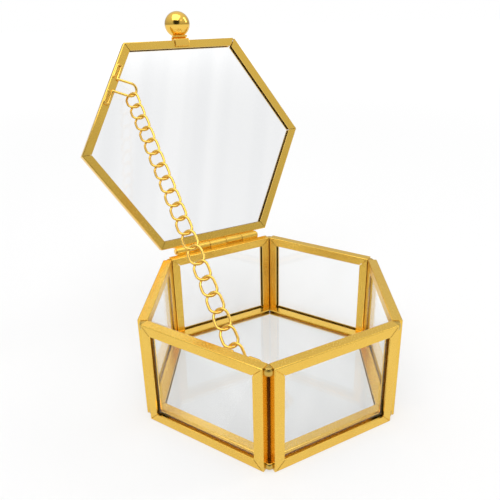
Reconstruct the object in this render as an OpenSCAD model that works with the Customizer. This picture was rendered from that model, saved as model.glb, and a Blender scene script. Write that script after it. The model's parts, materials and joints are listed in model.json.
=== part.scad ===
// Hexagonal glass casket: six framed panes, a framed floor and a framed lid on a barrel hinge, held open by a chain.
// Millimetres, +Z up, origin at the middle of the foot. The hinge side is +Y and the knob side is -Y.
// The part is drawn with its lid open to the length of the taut chain.

/* [Box] */
// Length of one side of the hexagon, outside
side = 50; // [40:0.5:70]
// Height of the walls
wall_height = 38; // [30:0.5:60]
// Thickness of every framed panel, outside its channel
channel_t = 3.6; // [3:0.1:5]
// Width of the channel's flanges on the face of the glass
flange_w = 3.3; // [2.5:0.1:5]
// Thickness of the brass sheet of the channels
sheet_t = 0.5; // [0.3:0.05:0.8]
// Gap between the sides of neighbouring wall frames
corner_gap = 0.12; // [0.05:0.01:0.3]
// Width of the hairline slit at each mitre
mitre_gap = 0.2; // [0.1:0.05:0.4]
// Play between the edge of a pane and the web of its channel
pane_play = 0.15; // [0.1:0.05:0.4]
// Height of the underside of the floor above the foot
floor_rise = 0; // [0:0.1:3]

/* [Lid] */
// Width of the lid as a share of the width of the box
lid_share = 0.985; // [0.95:0.005:1]
// Gap between the walls and the closed lid, which leaves room for the folded ends of the lid's bail
lid_gap = 1.3; // [1.2:0.05:1.6]
// Angle that the chain lets the lid open to
open_angle = 108; // [100:1:112]
// Width of the open seam where the ends of the lid's channel meet
seam_gap = 0.5; // [0.2:0.1:1]

/* [Knob] */
// Diameter of the ball
ball_d = 10.5; // [8:0.5:14]
// Distance from the middle of the ball to the lid's front edge
ball_reach = 7; // [6.9:0.1:9]
// Length of the strap along the lid's edge
strap_l = 6.4; // [4:0.2:9]
// Depth of the strap between the lid and the ball
strap_d = 2.2; // [2:0.1:2.6]
// Height of the strap's loop on the lid's edge
strap_h = 2.2; // [1.8:0.1:2.4]
// Thickness of the strap
strap_t = 0.7; // [0.5:0.05:0.8]
// Reach of the strap over the lid's inner flange
strap_grip = 2.6; // [1.5:0.1:3]

/* [Hinge] */
// Length of the barrel
barrel_l = 38; // [25:1:40]
// Number of knuckles, the box having the odd ones
knuckles = 5; // [3:2:9]
// Diameter of the barrel
barrel_d = 3.4; // [3:0.1:4]
// Diameter of the pin
pin_d = 1.4; // [1:0.1:1.8]
// Radial play of the pin in the knuckles
pin_play = 0.05; // [0.02:0.01:0.08]
// Gap between neighbouring knuckles
knuckle_gap = 0.2; // [0.1:0.05:0.4]
// Gap between the barrel and the backs of the box and the lid
barrel_gap = 0.1; // [0.05:0.05:0.4]
// Height of each leaf beside the barrel
leaf_h = 3.1; // [2.4:0.1:3.2]
// Thickness of the leaves
leaf_t = 0.5; // [0.3:0.1:0.8]
// Diameter of the pin's peened ends
pin_head_d = 2.2; // [1.8:0.1:3]
// Thickness of the pin's peened ends
pin_head_t = 0.5; // [0.3:0.1:0.8]

/* [Chain] */
// Number of links, an odd one
links = 19; // [19:2:19]
// Diameter of the links' wire
link_wire = 0.9; // [0.7:0.05:1]
// Width of a link, outside
link_w = 5.6; // [4.8:0.1:6]
// Gap between the wires of two links that pull on one another
link_gap = 0.12; // [0.08:0.01:0.2]
// Diameter of the bails' wire
bail_wire = 1; // [0.8:0.05:1.1]
// Radius of the bails' eyes, to the middle of the wire
bail_r = 2.6; // [2.2:0.1:3]
// Length of the folded ends of the lid's bail
lid_fold = 5; // [3:0.5:7]
// Length of the folded ends of the box's bail
box_fold = 3.4; // [2:0.2:3.6]
// Distance between the two runs of a folded end
bail_run = 1.6; // [1.3:0.1:2]
// Distance of the chain from the front corner of its wall, sideways
chain_inset = 3.58; // [3.2:0.02:4]
// Distance of the lid bail's hooking point behind the inner face of the wall when closed, measured likewise
lid_hook_in = 13.5; // [11.5:0.5:15.5]
// Depth of the lid bail's eye below the closed lid
lid_hook_drop = 3.1; // [2.8:0.1:3.6]
// Distance of the box bail's hooking point behind the inner face of the wall, measured towards the hinge
box_hook_in = 5.5; // [4.2:0.1:7]
// Depth of the box bail's eye below the rim
box_hook_drop = 5.8; // [5:0.1:8]

/* [Hidden] */
$fn = 48;
WIRE_FN = 16;
BEND_FN = 32;
// What the mitre slits leave of the flange beside the web
SLIT_STOP = 0.1;
// Where the returning run of a bail's folded end stops short of the bail's arm
FOLD_STOP = 0.6;
// How far a leaf reaches under its neighbour's knuckles
KNUCKLE_SEAT = 0.3;
// Radius of a solder tack's round front, as a share of its height
TACK_ROUND = 0.72;

BRASS = [0.87, 0.66, 0.25];
BRIGHT = [0.95, 0.78, 0.35];
GLASS = [0.82, 0.9, 0.9, 0.35];
SOLDER = [0.8, 0.62, 0.28];

// Numbers of the walls, counted from the rear one towards the left
REAR = 0;
REAR_LEFT = 1;
FRONT_LEFT = 2;
FRONT = 3;
FRONT_RIGHT = 4;
REAR_RIGHT = 5;

// Half widths of the hexagons across their flats
box_ap = side * sqrt(3) / 2;
inner_ap = box_ap - channel_t;
lid_ap = box_ap * lid_share;

pane_t = channel_t - 2 * sheet_t;
panel_w = 2 * inner_ap * tan(30) - corner_gap;

// The lid is flush with the rear of the box
lid_y = box_ap - lid_ap;
lid_z = wall_height + lid_gap;
lid_front = lid_y - lid_ap;

hinge_y = box_ap + barrel_gap + barrel_d / 2;
hinge_z = wall_height + lid_gap / 2;
knuckle_l = barrel_l / knuckles;

// Half of the link's width and length to the middle of its wire. The chain's length sets its pitch.
link_r = (link_w - link_wire) / 2;
link_step = link_wire + link_gap;
chain_x = inner_ap * tan(30) + chain_inset;
chain_wall_y = (inner_ap - chain_x * cos(30)) / sin(30);
lid_hook_y = chain_wall_y - lid_hook_in;
box_hook_y = chain_wall_y - box_hook_in;
lid_hook = swing([-chain_x, -lid_hook_y, lid_z - lid_hook_drop]);
box_hook = [-chain_x, -box_hook_y, wall_height - box_hook_drop];
chain_v = box_hook - lid_hook;
chain_l = norm(chain_v);
hook_step = (link_wire + bail_wire) / 2 + link_gap;
pitch = (chain_l + 2 * hook_step - link_step) / links;
link_half = (pitch + link_step) / 2;
chain_tilt = atan2(chain_v[2], chain_v[1]);

// Where a point of the closed lid goes when the lid is open
function swing(p) = [
    p[0],
    hinge_y + (p[1] - hinge_y) * cos(open_angle) + (p[2] - hinge_z) * sin(open_angle),
    hinge_z - (p[1] - hinge_y) * sin(open_angle) + (p[2] - hinge_z) * cos(open_angle)
];

// Opens what is drawn for the closed lid
module opened() {
    translate([0, hinge_y, hinge_z])
        rotate([-open_angle, 0, 0])
            translate([0, -hinge_y, -hinge_z])
                children();
}

// Turns what is drawn for a wall facing +X to one of the six sides
module at_wall(number) {
    rotate([0, 0, 90 + 60 * number])
        children();
}

module hexagon(ap, height) {
    linear_extrude(height)
        circle(r = ap / cos(30), $fn = 6);
}

// Channel folded round a rectangular pane, as seen from outside at x = inner_ap to box_ap
module wall_frame(number) {
    inner_w = panel_w - 2 * flange_w;
    slit_l = (flange_w - sheet_t) * sqrt(2) - SLIT_STOP;
    color(BRASS)
        at_wall(number)
            translate([inner_ap, 0, 0])
                difference() {
                    translate([0, -panel_w / 2, 0])
                        cube([channel_t, panel_w, wall_height]);
                    translate([-1, -inner_w / 2, flange_w])
                        cube([channel_t + 2, inner_w, wall_height - 2 * flange_w]);
                    translate([sheet_t, -panel_w / 2 + sheet_t, sheet_t])
                        cube([pane_t, panel_w - 2 * sheet_t, wall_height - 2 * sheet_t]);
                    for (across = [-1, 1], top = [0, 1], face = [0, 1])
                        translate([0, across * inner_w / 2, top ? wall_height - flange_w : flange_w])
                            rotate([atan2(2 * top - 1, across), 0, 0])
                                translate([face ? channel_t - sheet_t : -1, -1, -mitre_gap / 2])
                                    cube([sheet_t + 1, slit_l + 1, mitre_gap]);
                }
}

module wall_glass(number) {
    pane_w = panel_w - 2 * (sheet_t + pane_play);
    pane_h = wall_height - 2 * (sheet_t + pane_play);
    color(GLASS)
        at_wall(number)
            translate([inner_ap + sheet_t, -pane_w / 2, sheet_t + pane_play])
                cube([pane_t, pane_w, pane_h]);
}

// Channel folded round a hexagonal pane, with a slit at each mitre of both flanges
module hexagonal_frame(ap) {
    inner_r = (ap - flange_w) / cos(30);
    web_r = (ap - sheet_t) / cos(30);
    difference() {
        hexagon(ap, channel_t);
        translate([0, 0, -1])
            hexagon(ap - flange_w, channel_t + 2);
        translate([0, 0, sheet_t])
            hexagon(ap - sheet_t, pane_t);
        for (corner = [0:5], top = [0, 1])
            rotate([0, 0, 60 * corner])
                translate([inner_r - 1, -mitre_gap / 2, top ? channel_t - sheet_t : -1])
                    cube([web_r - inner_r + 1 - SLIT_STOP, mitre_gap, sheet_t + 1]);
    }
}

module hexagonal_pane(ap) {
    translate([0, 0, sheet_t])
        hexagon(ap - sheet_t - pane_play, pane_t);
}

module floor_frame() {
    color(BRASS)
        translate([0, 0, floor_rise])
            hexagonal_frame(inner_ap);
}

module floor_glass() {
    color(GLASS)
        translate([0, 0, floor_rise])
            hexagonal_pane(inner_ap);
}

// Tacks of solder that fill the six grooves between the walls from height z, each rounded like a drop
module solder_tacks(z, height, depth) {
    inner_r = inner_ap / cos(30);
    tip = 1.5 * corner_gap;
    wide = (depth + 1) * tan(30);
    color(SOLDER)
        for (corner = [0:5])
            rotate([0, 0, 60 * corner])
                intersection() {
                    translate([inner_r - corner_gap, 0, z])
                        linear_extrude(height)
                            polygon([[tip, -tip * tan(30)], [depth + 1, -wide], [depth + 1, wide], [tip, tip * tan(30)]]);
                    translate([inner_r + depth - height * TACK_ROUND, 0, z + height / 2])
                        sphere(r = height * TACK_ROUND);
                }
}

module rim_solder() {
    solder_tacks(wall_height - 3, 2.8, 3);
}

module foot_solder() {
    solder_tacks(0.2, 2.4, 2.7);
}

module lid_frame() {
    color(BRASS)
        opened()
            translate([0, lid_y, lid_z])
                difference() {
                    hexagonal_frame(lid_ap);
                    rotate([0, 0, -60])
                        translate([lid_ap - flange_w, -seam_gap / 2, -1])
                            cube([flange_w * 3, seam_gap, channel_t + 2]);
                }
}

module lid_glass() {
    color(GLASS)
        opened()
            translate([0, lid_y, lid_z])
                hexagonal_pane(lid_ap);
}

// Strip bent round the lid's front edge: it grips the inner flange, runs up the edge and turns back down at the ball.
// Drawn in profile, x outwards from the lid's edge and y upwards from the lid's underside.
module knob_strap() {
    color(BRASS)
        opened()
            translate([strap_l / 2, lid_front, lid_z])
                rotate([90, 0, -90])
                    linear_extrude(strap_l) {
                        translate([-strap_grip, -strap_t])
                            square([strap_grip, strap_t]);
                        intersection() {
                            circle(r = strap_t);
                            translate([0, -strap_t])
                                square(strap_t);
                        }
                        square([strap_t, strap_h]);
                        translate([strap_d / 2, strap_h])
                            difference() {
                                circle(d = strap_d);
                                circle(d = strap_d - 2 * strap_t);
                                translate([-strap_d, -2 * strap_d])
                                    square(2 * strap_d);
                            }
                        translate([strap_d - strap_t, strap_h / 4])
                            square([strap_t, strap_h * 3 / 4]);
                    }
}

// Ball with a small flat where it is soldered to the strap
module knob_ball() {
    color(BRIGHT)
        opened()
            difference() {
                translate([0, lid_front - ball_reach, lid_z + channel_t / 2])
                    sphere(d = ball_d, $fn = 64);
                translate([-ball_d, lid_front - strap_d, lid_z - ball_d])
                    cube([2 * ball_d, ball_d, 3 * ball_d]);
            }
}

// The barrel's knuckles from first to last in steps of two, joined to a leaf that hangs below the pin's axis.
// Drawn with the pin along X through the origin and the leaf against the plane y = -hinge gap.
module hinge_leaf(first) {
    back = -barrel_d / 2 - barrel_gap;
    relief = barrel_d / 2 - KNUCKLE_SEAT;
    difference() {
        union() {
            translate([-barrel_l / 2, back, -leaf_h])
                cube([barrel_l, leaf_t, leaf_h]);
            for (k = [first:2:knuckles - 1])
                translate([knuckle_x(k), 0, 0])
                    rotate([0, 90, 0])
                        cylinder(h = knuckle_l - knuckle_gap, d = barrel_d);
        }
        for (k = [1 - first:2:knuckles - 1])
            translate([knuckle_x(k) - knuckle_gap, back - 1, -relief])
                cube([knuckle_l + knuckle_gap, barrel_d, relief + 1]);
        translate([-barrel_l, 0, 0])
            rotate([0, 90, 0])
                cylinder(h = 2 * barrel_l, r = pin_d / 2 + pin_play);
    }
}

function knuckle_x(k) = -barrel_l / 2 + k * knuckle_l + knuckle_gap / 2;

module hinge_box_leaf() {
    color(BRASS)
        translate([0, hinge_y, hinge_z])
            hinge_leaf(0);
}

module hinge_lid_leaf() {
    color(BRASS)
        opened()
            translate([0, hinge_y, hinge_z])
                mirror([0, 0, 1])
                    hinge_leaf(1);
}

module hinge_pin() {
    head_x = barrel_l / 2;
    color(BRIGHT)
        translate([0, hinge_y, hinge_z])
            rotate([0, 90, 0]) {
                translate([0, 0, -head_x])
                    cylinder(h = barrel_l, d = pin_d);
                for (end = [-head_x - pin_head_t, head_x])
                    translate([0, 0, end])
                        cylinder(h = pin_head_t, d = pin_head_d);
            }
}

// Straight round wire from p to q
module wire(p, q, d) {
    v = q - p;
    translate(p)
        rotate([0, acos(v[2] / norm(v)), atan2(v[1], v[0])])
            cylinder(h = norm(v), d = d, $fn = WIRE_FN);
}

// Rounds a bend or an end of a wire at p, where the wire swells a little
module wire_bend(p, d) {
    translate(p)
        sphere(d = 1.05 * d, $fn = WIRE_FN);
}

// Round wire bent to an arc about the origin in the XY plane, from the angle start over the angle sweep
module wire_arc(r, d, start, sweep) {
    rotate([0, 0, start])
        rotate_extrude(angle = sweep, $fn = BEND_FN)
            translate([r, 0])
                circle(d = d, $fn = WIRE_FN);
}

// End of a bail folded back flat in the XY plane: out along +Y and back, starting on the side of +X
module folded_end(length) {
    near = bail_run / 2;
    wire([near, 0, 0], [near, length, 0], bail_wire);
    translate([0, length, 0])
        wire_arc(near, bail_wire, 0, 180);
    wire([-near, length, 0], [-near, FOLD_STOP, 0], bail_wire);
    wire_bend([near, 0, 0], bail_wire);
    wire_bend([-near, FOLD_STOP, 0], bail_wire);
}

// The eye's middle lies behind the hooking point by the eye's radius, so that the wire there runs along X.
// Seen from the wall's face at x = 0, with the eye level at the height eye_z.
module box_bail() {
    middle = [-chain_x, -box_hook_y - bail_r];
    eye_x = inner_ap + middle[0] * cos(30) + middle[1] * sin(30);
    eye_y = -middle[0] * sin(30) + middle[1] * cos(30);
    eye_z = box_hook[2];
    rise = bail_wire / 2;
    level = wall_height - flange_w / 2;
    color(BRASS)
        rotate([0, 0, 30])
            translate([-inner_ap, eye_y, 0]) {
                for (across = [0, 1])
                    mirror([0, across, 0]) {
                        translate([rise, bail_r, level])
                            rotate([0, 90, 0])
                                folded_end(box_fold);
                        wire([rise, bail_r, level - bail_run / 2], [eye_x, bail_r, eye_z], bail_wire);
                        wire_bend([eye_x, bail_r, eye_z], bail_wire);
                    }
                translate([eye_x, 0, eye_z])
                    wire_arc(bail_r, bail_wire, -90, 180);
            }
}

// Seen from the middle line of the lid's flange at x = 0, with the flange's face at z = 0
module lid_bail() {
    middle = [-chain_x, -lid_hook_y - bail_r - lid_y];
    eye_x = lid_ap - flange_w / 2 + middle[0] * cos(30) + middle[1] * sin(30);
    eye_y = -middle[0] * sin(30) + middle[1] * cos(30);
    rise = bail_wire / 2;
    color(BRASS)
        opened()
            translate([0, lid_y, lid_z])
                rotate([0, 0, 30])
                    translate([flange_w / 2 - lid_ap, eye_y, 0]) {
                        for (across = [0, 1])
                            mirror([0, across, 0]) {
                                translate([0, bail_r, -rise])
                                    folded_end(lid_fold);
                                wire([bail_run / 2, bail_r, -rise], [eye_x, bail_r, -lid_hook_drop], bail_wire);
                                wire_bend([eye_x, bail_r, -lid_hook_drop], bail_wire);
                            }
                        translate([eye_x, 0, -lid_hook_drop])
                            wire_arc(bail_r, bail_wire, -90, 180);
                    }
}

module chain_link(number) {
    color(BRASS)
        translate(lid_hook + chain_v / chain_l * ((number - 0.5) * pitch + link_step / 2 - hook_step))
            rotate([chain_tilt, 0, 0])
                rotate([0, number % 2 == 1 ? 90 : 0, 0])
                    open_link();
}

// Closed oval of wire in the XY plane, long along Y
module open_link() {
    straight = link_half - link_r;
    for (end = [-1, 1])
        translate([0, end * straight, 0])
            wire_arc(link_r, link_wire, end > 0 ? 0 : 180, 180);
    for (across = [-1, 1])
        translate([across * link_r, -straight, 0])
            rotate([-90, 0, 0])
                cylinder(h = 2 * straight, d = link_wire, $fn = WIRE_FN);
}

module front_frame() { wall_frame(FRONT); }
module front_left_frame() { wall_frame(FRONT_LEFT); }
module rear_left_frame() { wall_frame(REAR_LEFT); }
module rear_frame() { wall_frame(REAR); }
module rear_right_frame() { wall_frame(REAR_RIGHT); }
module front_right_frame() { wall_frame(FRONT_RIGHT); }
module front_glass() { wall_glass(FRONT); }
module front_left_glass() { wall_glass(FRONT_LEFT); }
module rear_left_glass() { wall_glass(REAR_LEFT); }
module rear_glass() { wall_glass(REAR); }
module rear_right_glass() { wall_glass(REAR_RIGHT); }
module front_right_glass() { wall_glass(FRONT_RIGHT); }
module chain_link_01() { chain_link(1); }
module chain_link_02() { chain_link(2); }
module chain_link_03() { chain_link(3); }
module chain_link_04() { chain_link(4); }
module chain_link_05() { chain_link(5); }
module chain_link_06() { chain_link(6); }
module chain_link_07() { chain_link(7); }
module chain_link_08() { chain_link(8); }
module chain_link_09() { chain_link(9); }
module chain_link_10() { chain_link(10); }
module chain_link_11() { chain_link(11); }
module chain_link_12() { chain_link(12); }
module chain_link_13() { chain_link(13); }
module chain_link_14() { chain_link(14); }
module chain_link_15() { chain_link(15); }
module chain_link_16() { chain_link(16); }
module chain_link_17() { chain_link(17); }
module chain_link_18() { chain_link(18); }
module chain_link_19() { chain_link(19); }

front_frame();
front_left_frame();
rear_left_frame();
rear_frame();
rear_right_frame();
front_right_frame();
front_glass();
front_left_glass();
rear_left_glass();
rear_glass();
rear_right_glass();
front_right_glass();
floor_frame();
floor_glass();
rim_solder();
foot_solder();
box_bail();
hinge_box_leaf();
hinge_pin();
hinge_lid_leaf();
lid_frame();
lid_glass();
lid_bail();
knob_strap();
knob_ball();
chain_link_01();
chain_link_02();
chain_link_03();
chain_link_04();
chain_link_05();
chain_link_06();
chain_link_07();
chain_link_08();
chain_link_09();
chain_link_10();
chain_link_11();
chain_link_12();
chain_link_13();
chain_link_14();
chain_link_15();
chain_link_16();
chain_link_17();
chain_link_18();
chain_link_19();
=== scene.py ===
"""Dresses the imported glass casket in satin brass, clear glass, a polished knob, a stay chain and solder."""

import json
import math

import bmesh
import bpy
from mathutils import Matrix, Vector


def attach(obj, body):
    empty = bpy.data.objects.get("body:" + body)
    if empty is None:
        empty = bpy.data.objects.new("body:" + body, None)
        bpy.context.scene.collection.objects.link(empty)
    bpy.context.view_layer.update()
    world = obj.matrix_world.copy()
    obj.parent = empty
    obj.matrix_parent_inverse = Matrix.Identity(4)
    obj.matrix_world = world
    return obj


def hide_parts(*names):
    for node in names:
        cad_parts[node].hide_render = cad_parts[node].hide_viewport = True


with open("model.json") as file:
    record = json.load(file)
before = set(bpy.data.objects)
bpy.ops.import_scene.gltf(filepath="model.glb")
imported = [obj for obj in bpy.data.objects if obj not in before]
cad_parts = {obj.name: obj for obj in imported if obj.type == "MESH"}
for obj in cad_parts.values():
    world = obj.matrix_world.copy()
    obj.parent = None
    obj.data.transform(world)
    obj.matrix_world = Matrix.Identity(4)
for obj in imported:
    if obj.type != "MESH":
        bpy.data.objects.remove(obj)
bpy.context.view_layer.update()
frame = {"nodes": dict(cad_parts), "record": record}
MM = 0.001

# The box, as it is built
SIDE = 50 * MM
WALL_HEIGHT = 38 * MM
CHANNEL_T = 3.6 * MM
WALL_INSIDE = SIDE * math.sqrt(3) / 2 - CHANNEL_T
INNER_CORNER = WALL_INSIDE / math.cos(math.pi / 6)

# The strips that close the creases between the walls; their near-black colour is painted shade
SEAM_R = 0.3 * MM
SEAM_OUT = 0.2 * MM
SEAM_SHORT = 1.2 * MM

# Just less than the width of a channel's web. The sheet is folded along both sides of it
WEB = 0.95 * CHANNEL_T

# How far the folds and edges are rounded
FOLD_EASE = 0.34 * MM
LEAF_EASE = 0.1 * MM
PIN_EASE = 0.12 * MM
STRAP_EASE = 0.2 * MM
SOLDER_EASE = 0.15 * MM

# Share of a pane's thickness that is taken off as air between it and the channel
PANE_SHRINK = 0.23

# The stay chain
LINKS = 19
LINK_WIRE = 0.95 * MM
LINK_W = 5.8 * MM
LINK_GAP = 0.07 * MM
LINK_TWIST = math.radians(-38)
LINK_FACING = math.radians(24)


# ---------------------------------------------------------------- camera and studio


def camera_at(place, azimuth, elevation, roll, lens, shift_y):
    """The photograph's view: azimuth turns from +Y towards -X, elevation looks down, roll tips the frame."""
    ahead = Vector(
        (
            -math.sin(azimuth) * math.cos(elevation),
            math.cos(azimuth) * math.cos(elevation),
            -math.sin(elevation),
        )
    )
    level = Vector((math.cos(azimuth), math.sin(azimuth), 0))
    upright = level.cross(ahead)
    right = level * math.cos(roll) + upright * math.sin(roll)
    up = upright * math.cos(roll) - level * math.sin(roll)
    camera = bpy.data.objects.new("camera", bpy.data.cameras.new("camera"))
    camera.matrix_world = Matrix.Translation(place) @ Matrix((right, up, -ahead)).transposed().to_4x4()
    camera.data.lens = lens
    camera.data.sensor_width = 36
    camera.data.shift_y = shift_y
    camera.data.clip_start = 0.005
    bpy.context.collection.objects.link(camera)
    bpy.context.scene.camera = camera


camera_at(
    place=Vector((-85.43, -150.39, 130.62)) * MM,
    azimuth=math.radians(-27.475),
    elevation=math.radians(21.54),
    roll=math.radians(-1.26),
    lens=38.39,
    shift_y=-0.05,
)


class Socket:
    """A node's output that can be used in arithmetic."""

    def __init__(self, finish, output):
        self.finish = finish
        self.output = output

    def _with(self, operation, first, second):
        return self.finish.node("Math", {"operation": operation}, {0: first, 1: second})

    def __add__(self, other):
        return self._with("ADD", self, other)

    def __radd__(self, other):
        return self._with("ADD", other, self)

    def __mul__(self, other):
        return self._with("MULTIPLY", self, other)

    def __rmul__(self, other):
        return self._with("MULTIPLY", other, self)

    def __pow__(self, other):
        return self._with("POWER", self, other)

    def most(self, other):
        return self._with("MAXIMUM", self, other)


class Finish:
    """Builds the nodes of a material or of the world."""

    def __init__(self, owner):
        owner.use_nodes = True
        self.owner = owner
        self.tree = owner.node_tree
        self.tree.nodes.clear()

    def node(self, kind, settings=None, sockets=None, out=0):
        node = self.tree.nodes.new("ShaderNode" + kind)
        for name, value in (settings or {}).items():
            if name == "stops":
                self.set_stops(node.color_ramp, value)
            else:
                setattr(node, name, value)
        for name, value in (sockets or {}).items():
            if isinstance(value, Socket):
                self.tree.links.new(value.output, node.inputs[name])
            else:
                node.inputs[name].default_value = value
        return Socket(self, node.outputs[out]) if node.outputs else node

    def set_stops(self, ramp, stops):
        while len(ramp.elements) < len(stops):
            ramp.elements.new(0.5)
        for element, (place, colour) in zip(ramp.elements, stops):
            element.position = place
            element.color = colour

    def place(self):
        return self.node("TexCoord", out="Object")

    def noise(self, where, scale, detail=3, roughness=0.5):
        sockets = {"Vector": where, "Scale": scale, "Detail": detail, "Roughness": roughness}
        return self.node("TexNoise", {}, sockets, out="Fac")

    def mixed(self, factor, first, second):
        settings = {"data_type": "RGBA"}
        return self.node("Mix", settings, {0: factor, 6: first, 7: second}, out=2)

    def surface(self, shader):
        self.node("OutputMaterial", {}, {"Surface": shader})
        return self.owner


def rgb(red, green, blue):
    return (red, green, blue, 1)


# The way from the box to the dark of the room, behind the photographer
DARK_SIDE = Vector((-0.43, -0.825, 0.367))


def studio_world():
    """Pale light, strongest overhead, a dark part of the room in front, and white in the background."""
    world = bpy.data.worlds.new("studio")
    bpy.context.scene.world = world
    sky = Finish(world)
    direction = sky.node("TexCoord", out="Generated")
    height = sky.node("SeparateXYZ", {}, {0: direction}, out="Z")
    stops = [(0.0, rgb(0.4, 0.4, 0.4)), (0.35, rgb(0.64, 0.64, 0.64)), (1.0, rgb(0.9, 0.9, 0.9))]
    light = sky.node("ValToRGB", {"stops": stops}, {0: height})
    dot = {"operation": "DOT_PRODUCT"}
    towards = sky.node("VectorMath", dot, {0: direction, 1: DARK_SIDE}, out="Value")
    dark = sky.node("MapRange", {"interpolation_type": "SMOOTHSTEP"}, {0: towards, 1: 0.8, 2: 0.95})
    shade = sky.mixed(dark, light, rgb(0.03, 0.03, 0.03))
    paths = sky.node("LightPath", out="Is Camera Ray")
    seen = Socket(sky, paths.output.node.outputs["Is Transmission Ray"]).most(paths)
    colour = sky.mixed(seen, shade, rgb(1, 1, 1))
    sky.node("OutputWorld", {}, {"Surface": sky.node("Background", {}, {"Color": colour, "Strength": 1.0})})


# The floor's own light as seen, what distance adds to it, between which distances, and as mirrored in metal
FLOOR_GLOW = 0.54
FAR_GLOW = 0.26
NEAR = 0.3
FAR = 2.2
FLOOR_SHEEN = 0.48


def white_floor():
    """A grey floor with a light of its own, so that it shows as white and still takes a shadow."""
    mesh = bpy.data.meshes.new("floor")
    shape = bmesh.new()
    bmesh.ops.create_grid(shape, x_segments=1, y_segments=1, size=6)
    shape.to_mesh(mesh)
    shape.free()
    floor = bpy.data.objects.new("floor", mesh)
    bpy.context.collection.objects.link(floor)
    paint = Finish(bpy.data.materials.new("floor_white"))
    paths = paint.node("LightPath", out="Is Camera Ray")
    outputs = paths.output.node.outputs
    away = paint.node("VectorMath", {"operation": "LENGTH"}, {0: paint.place()}, out="Value")
    far = paint.node("MapRange", {"interpolation_type": "SMOOTHSTEP"}, {0: away, 1: NEAR, 2: FAR})
    seen = paths.most(Socket(paint, outputs["Is Transmission Ray"])) * (far * FAR_GLOW + FLOOR_GLOW)
    mirrored = Socket(paint, outputs["Is Glossy Ray"]) * FLOOR_SHEEN
    lit = paint.node("BsdfDiffuse", {}, {"Color": rgb(0.4, 0.4, 0.4)})
    glow = paint.node("Emission", {}, {"Color": rgb(1, 1, 1), "Strength": seen.most(mirrored)})
    mesh.materials.append(paint.surface(paint.node("AddShader", {}, {0: lit, 1: glow})))


def softbox(name, place, aim, size, power):
    lamp = bpy.data.lights.new(name, "AREA")
    lamp.shape = "RECTANGLE"
    lamp.size, lamp.size_y = size
    lamp.energy = power
    holder = bpy.data.objects.new(name, lamp)
    facing = (aim - place).to_track_quat("-Z", "Y").to_matrix().to_4x4()
    holder.matrix_world = Matrix.Translation(place) @ facing
    bpy.context.collection.objects.link(holder)


studio_world()
white_floor()
MIDDLE = Vector((0, 0, 0.05))
softbox("overhead", place=Vector((-0.6, -0.7, 2.3)), aim=MIDDLE, size=(2.6, 2.6), power=36.0)
softbox("side", place=Vector((2.4, -0.6, 1.4)), aim=MIDDLE, size=(0.6, 1.6), power=10.0)
bpy.context.scene.view_settings.view_transform = "Standard"


# ---------------------------------------------------------------- finishes


def satin_brass(name, gold, roughness, grain, ripple):
    """Gilded brass sheet: a fine grain, slow ripples from rolling and folding, and faint stains."""
    paint = Finish(bpy.data.materials.new(name))
    place = paint.place()
    fine = paint.noise(place, scale=2600, detail=2)
    slow = paint.noise(place, scale=260, detail=3)
    stain = paint.noise(place, scale=90, detail=4, roughness=0.6)
    stained = rgb(gold[0] * 0.93, gold[1] * 0.82, gold[2] * 0.6)
    colour = paint.mixed(stain ** 2.5, rgb(*gold), stained)
    height = fine * grain + slow * ripple
    bump = paint.node("Bump", {}, {"Strength": 1.0, "Distance": 0.0001, "Height": height})
    sockets = {
        "Base Color": colour,
        "Metallic": 1.0,
        "Roughness": roughness + fine * 0.12,
        "Normal": bump,
    }
    return paint.surface(paint.node("BsdfPrincipled", {}, sockets))


def clear_glass(name, first, second):
    """Clear glass with a faint grey tint, with soft slanting lighter streaks in its colour that are painted
    reflections.
    """
    paint = Finish(bpy.data.materials.new(name))
    dot = {"operation": "DOT_PRODUCT"}
    # Slanting lighter streaks in the tint: painted reflections
    slant = paint.node("VectorMath", dot, {0: paint.place(), 1: STREAK_SLANT}, out="Value")
    along = paint.node("CombineXYZ", {}, {0: slant})
    painted_streaks = paint.noise(along, scale=70, detail=1)
    edges = paint.node("MapRange", {"interpolation_type": "SMOOTHSTEP"}, {0: painted_streaks, 1: 0.4, 2: 0.62})
    sockets = {
        "Base Color": paint.mixed(edges, rgb(*first), rgb(*second)),
        "Roughness": 0.0,
        "IOR": 1.45,
        "Transmission Weight": 1.0,
    }
    return paint.surface(paint.node("BsdfPrincipled", {}, sockets))


CHANNEL = satin_brass("channel_brass", (0.93, 0.61, 0.115), roughness=0.2, grain=0.05, ripple=0.25)
WIRE = satin_brass("wire_brass", (0.86, 0.56, 0.12), roughness=0.19, grain=0.0, ripple=0.02)
POLISHED = satin_brass("polished_brass", (0.97, 0.62, 0.12), roughness=0.05, grain=0.0, ripple=0.03)
SOLDER = satin_brass("gilded_solder", (0.66, 0.45, 0.1), roughness=0.22, grain=0.1, ripple=0.8)
# Near-black: painted shade for the strips in the creases between the walls
CREASE_SHADE = satin_brass("crease_painted_shade", (0.16, 0.06, 0.015), roughness=0.5, grain=0.1, ripple=0.4)
# Slant of the painted reflection streaks; the second tone of each glass is the painted reflection
STREAK_SLANT = Vector((0.96, 0, -0.29))
GLASS = clear_glass("pane_glass", (0.95, 0.957, 0.957), (0.975, 0.98, 0.98))
LID_GLASS = clear_glass("lid_glass", (0.86, 0.868, 0.876), (0.915, 0.92, 0.925))


# ---------------------------------------------------------------- pieces


SHARP = math.radians(35)


def finish_piece(piece, material, body, slot, *nodes):
    piece.data.materials.append(material)
    bpy.context.collection.objects.link(piece)
    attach(piece, body)
    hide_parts(*nodes)
    return piece


def body_holding(node):
    for body, nodes in frame["record"]["behaviour"]["bodies"].items():
        if node in nodes:
            return body


def middle_of(node):
    corners = [Vector(corner) for corner in frame["nodes"][node].bound_box]
    return sum(corners, Vector()) / len(corners)


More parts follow.
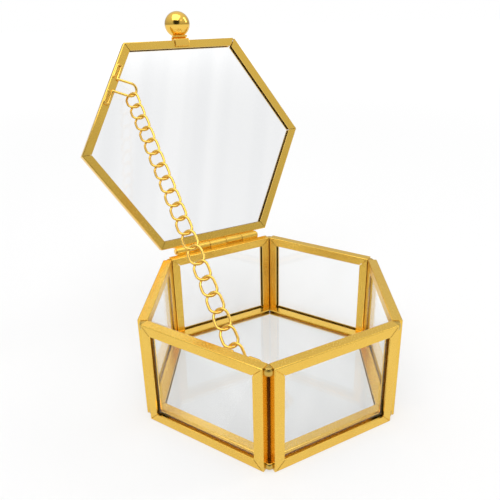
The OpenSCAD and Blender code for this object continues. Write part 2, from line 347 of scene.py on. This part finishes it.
def can_be_eased(edge, beside):
    """Whether an edge is sharp, and for a channel also long, with a face as wide as `beside` at it."""
    if not edge.is_manifold or edge.calc_face_angle(0) < SHARP:
        return False
    if beside and edge.calc_length() < 4 * beside:
        return False
    return max(face.calc_area() for face in edge.link_faces) > beside * edge.calc_length()


def eased(node, material, slot, ease=0.0, segments=2, beside=0.0):
    """The node's own shape with its sharp edges eased, as folded sheet has. Faces beside them stay flat."""
    shape = bmesh.new()
    shape.from_mesh(frame["nodes"][node].data)
    bmesh.ops.remove_doubles(shape, verts=shape.verts, dist=0.002 * MM)
    bmesh.ops.join_triangles(
        shape,
        faces=shape.faces,
        angle_face_threshold=math.radians(1),
        angle_shape_threshold=math.radians(180),
    )
    strips = set()
    if ease:
        sharp = [edge for edge in shape.edges if can_be_eased(edge, beside)]
        made = bmesh.ops.bevel(
            shape,
            geom=sharp,
            offset=ease,
            offset_type="OFFSET",
            affect="EDGES",
            segments=segments,
            profile=0.5,
            material=-1,
            clamp_overlap=True,
        )
        strips = set(made["faces"])
    for face in shape.faces:
        face.smooth = True
    for edge in shape.edges:
        strips_here = sum(face in strips for face in edge.link_faces)
        edge.smooth = strips_here != 1 and edge.calc_face_angle(0) < SHARP
    mesh = bpy.data.meshes.new(node + "_eased")
    shape.to_mesh(mesh)
    shape.free()
    piece = bpy.data.objects.new(node + "_eased", mesh)
    return finish_piece(piece, material, body_holding(node), slot, node)


def thinned_pane(node, material):
    """The pane with a hair of air on both its faces, where the solid touches the channel."""
    pane = eased(node, material, "glass")
    face = max(pane.data.polygons, key=lambda polygon: polygon.area)
    middle = middle_of(node)
    for vertex in pane.data.vertices:
        vertex.co -= face.normal * (vertex.co - middle).dot(face.normal) * PANE_SHRINK
    return pane


for name in sorted(frame["nodes"]):
    if name.endswith("_frame"):
        eased(name, CHANNEL, "brass", FOLD_EASE, segments=3, beside=WEB)
    elif name.endswith("_glass"):
        thinned_pane(name, LID_GLASS if name == "lid_glass" else GLASS)
eased("hinge_box_leaf", CHANNEL, "brass", LEAF_EASE)
eased("hinge_lid_leaf", CHANNEL, "brass", LEAF_EASE)
eased("hinge_pin", POLISHED, "polished", PIN_EASE)
eased("knob_strap", POLISHED, "brass", STRAP_EASE, segments=3)
eased("knob_ball", POLISHED, "polished")
for name in ("rim_solder", "foot_solder"):
    eased(name, SOLDER, "solder", SOLDER_EASE)
for name in ("lid_bail", "box_bail"):
    eased(name, WIRE, "brass")


def swept_on(shape, ring, turn=None, run=None, steps=4):
    """Carries the open end of a wire round a bend about the place `turn`, or straight along `run`."""
    made = bmesh.ops.spin(
        shape,
        geom=ring,
        cent=turn or Vector(),
        axis=Vector((0, 0, 1)),
        angle=math.pi if turn else 0.0,
        dvec=run / steps if run else Vector(),
        steps=steps,
        use_merge=False,
        use_duplicate=False,
    )
    return made["geom_last"]


def oval_link(shape, half_length, half_width, wire):
    """Closed oval of round wire in the XY plane, long along Y."""
    straight = half_length - half_width
    start = Matrix.Translation((half_width, straight, 0)) @ Matrix.Rotation(math.pi / 2, 4, "X")
    bmesh.ops.create_circle(shape, radius=wire / 2, segments=12, matrix=start)
    ring = shape.verts[:] + shape.edges[:]
    ring = swept_on(shape, ring, turn=Vector((0, straight, 0)), steps=16)
    ring = swept_on(shape, ring, run=Vector((0, -2 * straight, 0)))
    ring = swept_on(shape, ring, turn=Vector((0, -straight, 0)), steps=16)
    swept_on(shape, ring, run=Vector((0, 2 * straight, 0)))
    bmesh.ops.remove_doubles(shape, verts=shape.verts, dist=0.01 * MM)
    bmesh.ops.recalc_face_normals(shape, faces=shape.faces)


def curb_link(number, run, pitch):
    """Link of the stay chain, twisted over its length so that the chain lies nearly flat when it is taut."""
    node = f"chain_link_{number:02d}"
    half_length = (pitch + LINK_WIRE + LINK_GAP) / 2
    shape = bmesh.new()
    oval_link(shape, half_length, (LINK_W - LINK_WIRE) / 2, LINK_WIRE)
    for vertex in shape.verts:
        turn = LINK_TWIST * vertex.co.y / (2 * half_length)
        vertex.co = Matrix.Rotation(turn, 3, "Y") @ vertex.co
    across = Matrix.Rotation(LINK_FACING, 3, run) @ Vector((1, 0, 0))
    axes = Matrix((across, run, across.cross(run))).transposed().to_4x4()
    bmesh.ops.transform(shape, matrix=Matrix.Translation(middle_of(node)) @ axes, verts=shape.verts)
    mesh = bpy.data.meshes.new(node + "_curb")
    shape.to_mesh(mesh)
    shape.free()
    mesh.shade_smooth()
    piece = bpy.data.objects.new(node + "_curb", mesh)
    return finish_piece(piece, WIRE, node, "brass", node)


def crease_shade_strip(number, material):
    """Strip that closes the crease between two walls, as the metal behind it does on the real box; its
    near-black colour is painted shade in the crease.
    """
    height = WALL_HEIGHT - 2 * SEAM_SHORT
    corner = Matrix.Rotation(math.radians(60 * number), 4, "Z") @ Vector((INNER_CORNER, 0, 0))
    outward = corner.normalized() * SEAM_OUT
    middle = Matrix.Translation(corner + outward + Vector((0, 0, WALL_HEIGHT / 2)))
    shape = bmesh.new()
    bmesh.ops.create_cone(
        shape, cap_ends=True, segments=10, radius1=SEAM_R, radius2=SEAM_R, depth=height, matrix=middle
    )
    mesh = bpy.data.meshes.new(f"crease_shade_strip_{number + 1}")
    shape.to_mesh(mesh)
    shape.free()
    mesh.shade_smooth()
    strip_piece = bpy.data.objects.new(f"crease_shade_strip_{number + 1}", mesh)
    return finish_piece(strip_piece, material, "box", "solder")


def stay_chain():
    """All links, spaced as the solids from the second link to the last but one are."""
    taut = middle_of(f"chain_link_{LINKS - 1:02d}") - middle_of("chain_link_02")
    for number in range(1, LINKS + 1):
        curb_link(number, taut.normalized(), taut.length / (LINKS - 3))


stay_chain()
# The crease strips close the slits as the real box does; their dark colour is painted shade
for number in range(6):
    crease_shade_strip(number, CREASE_SHADE)
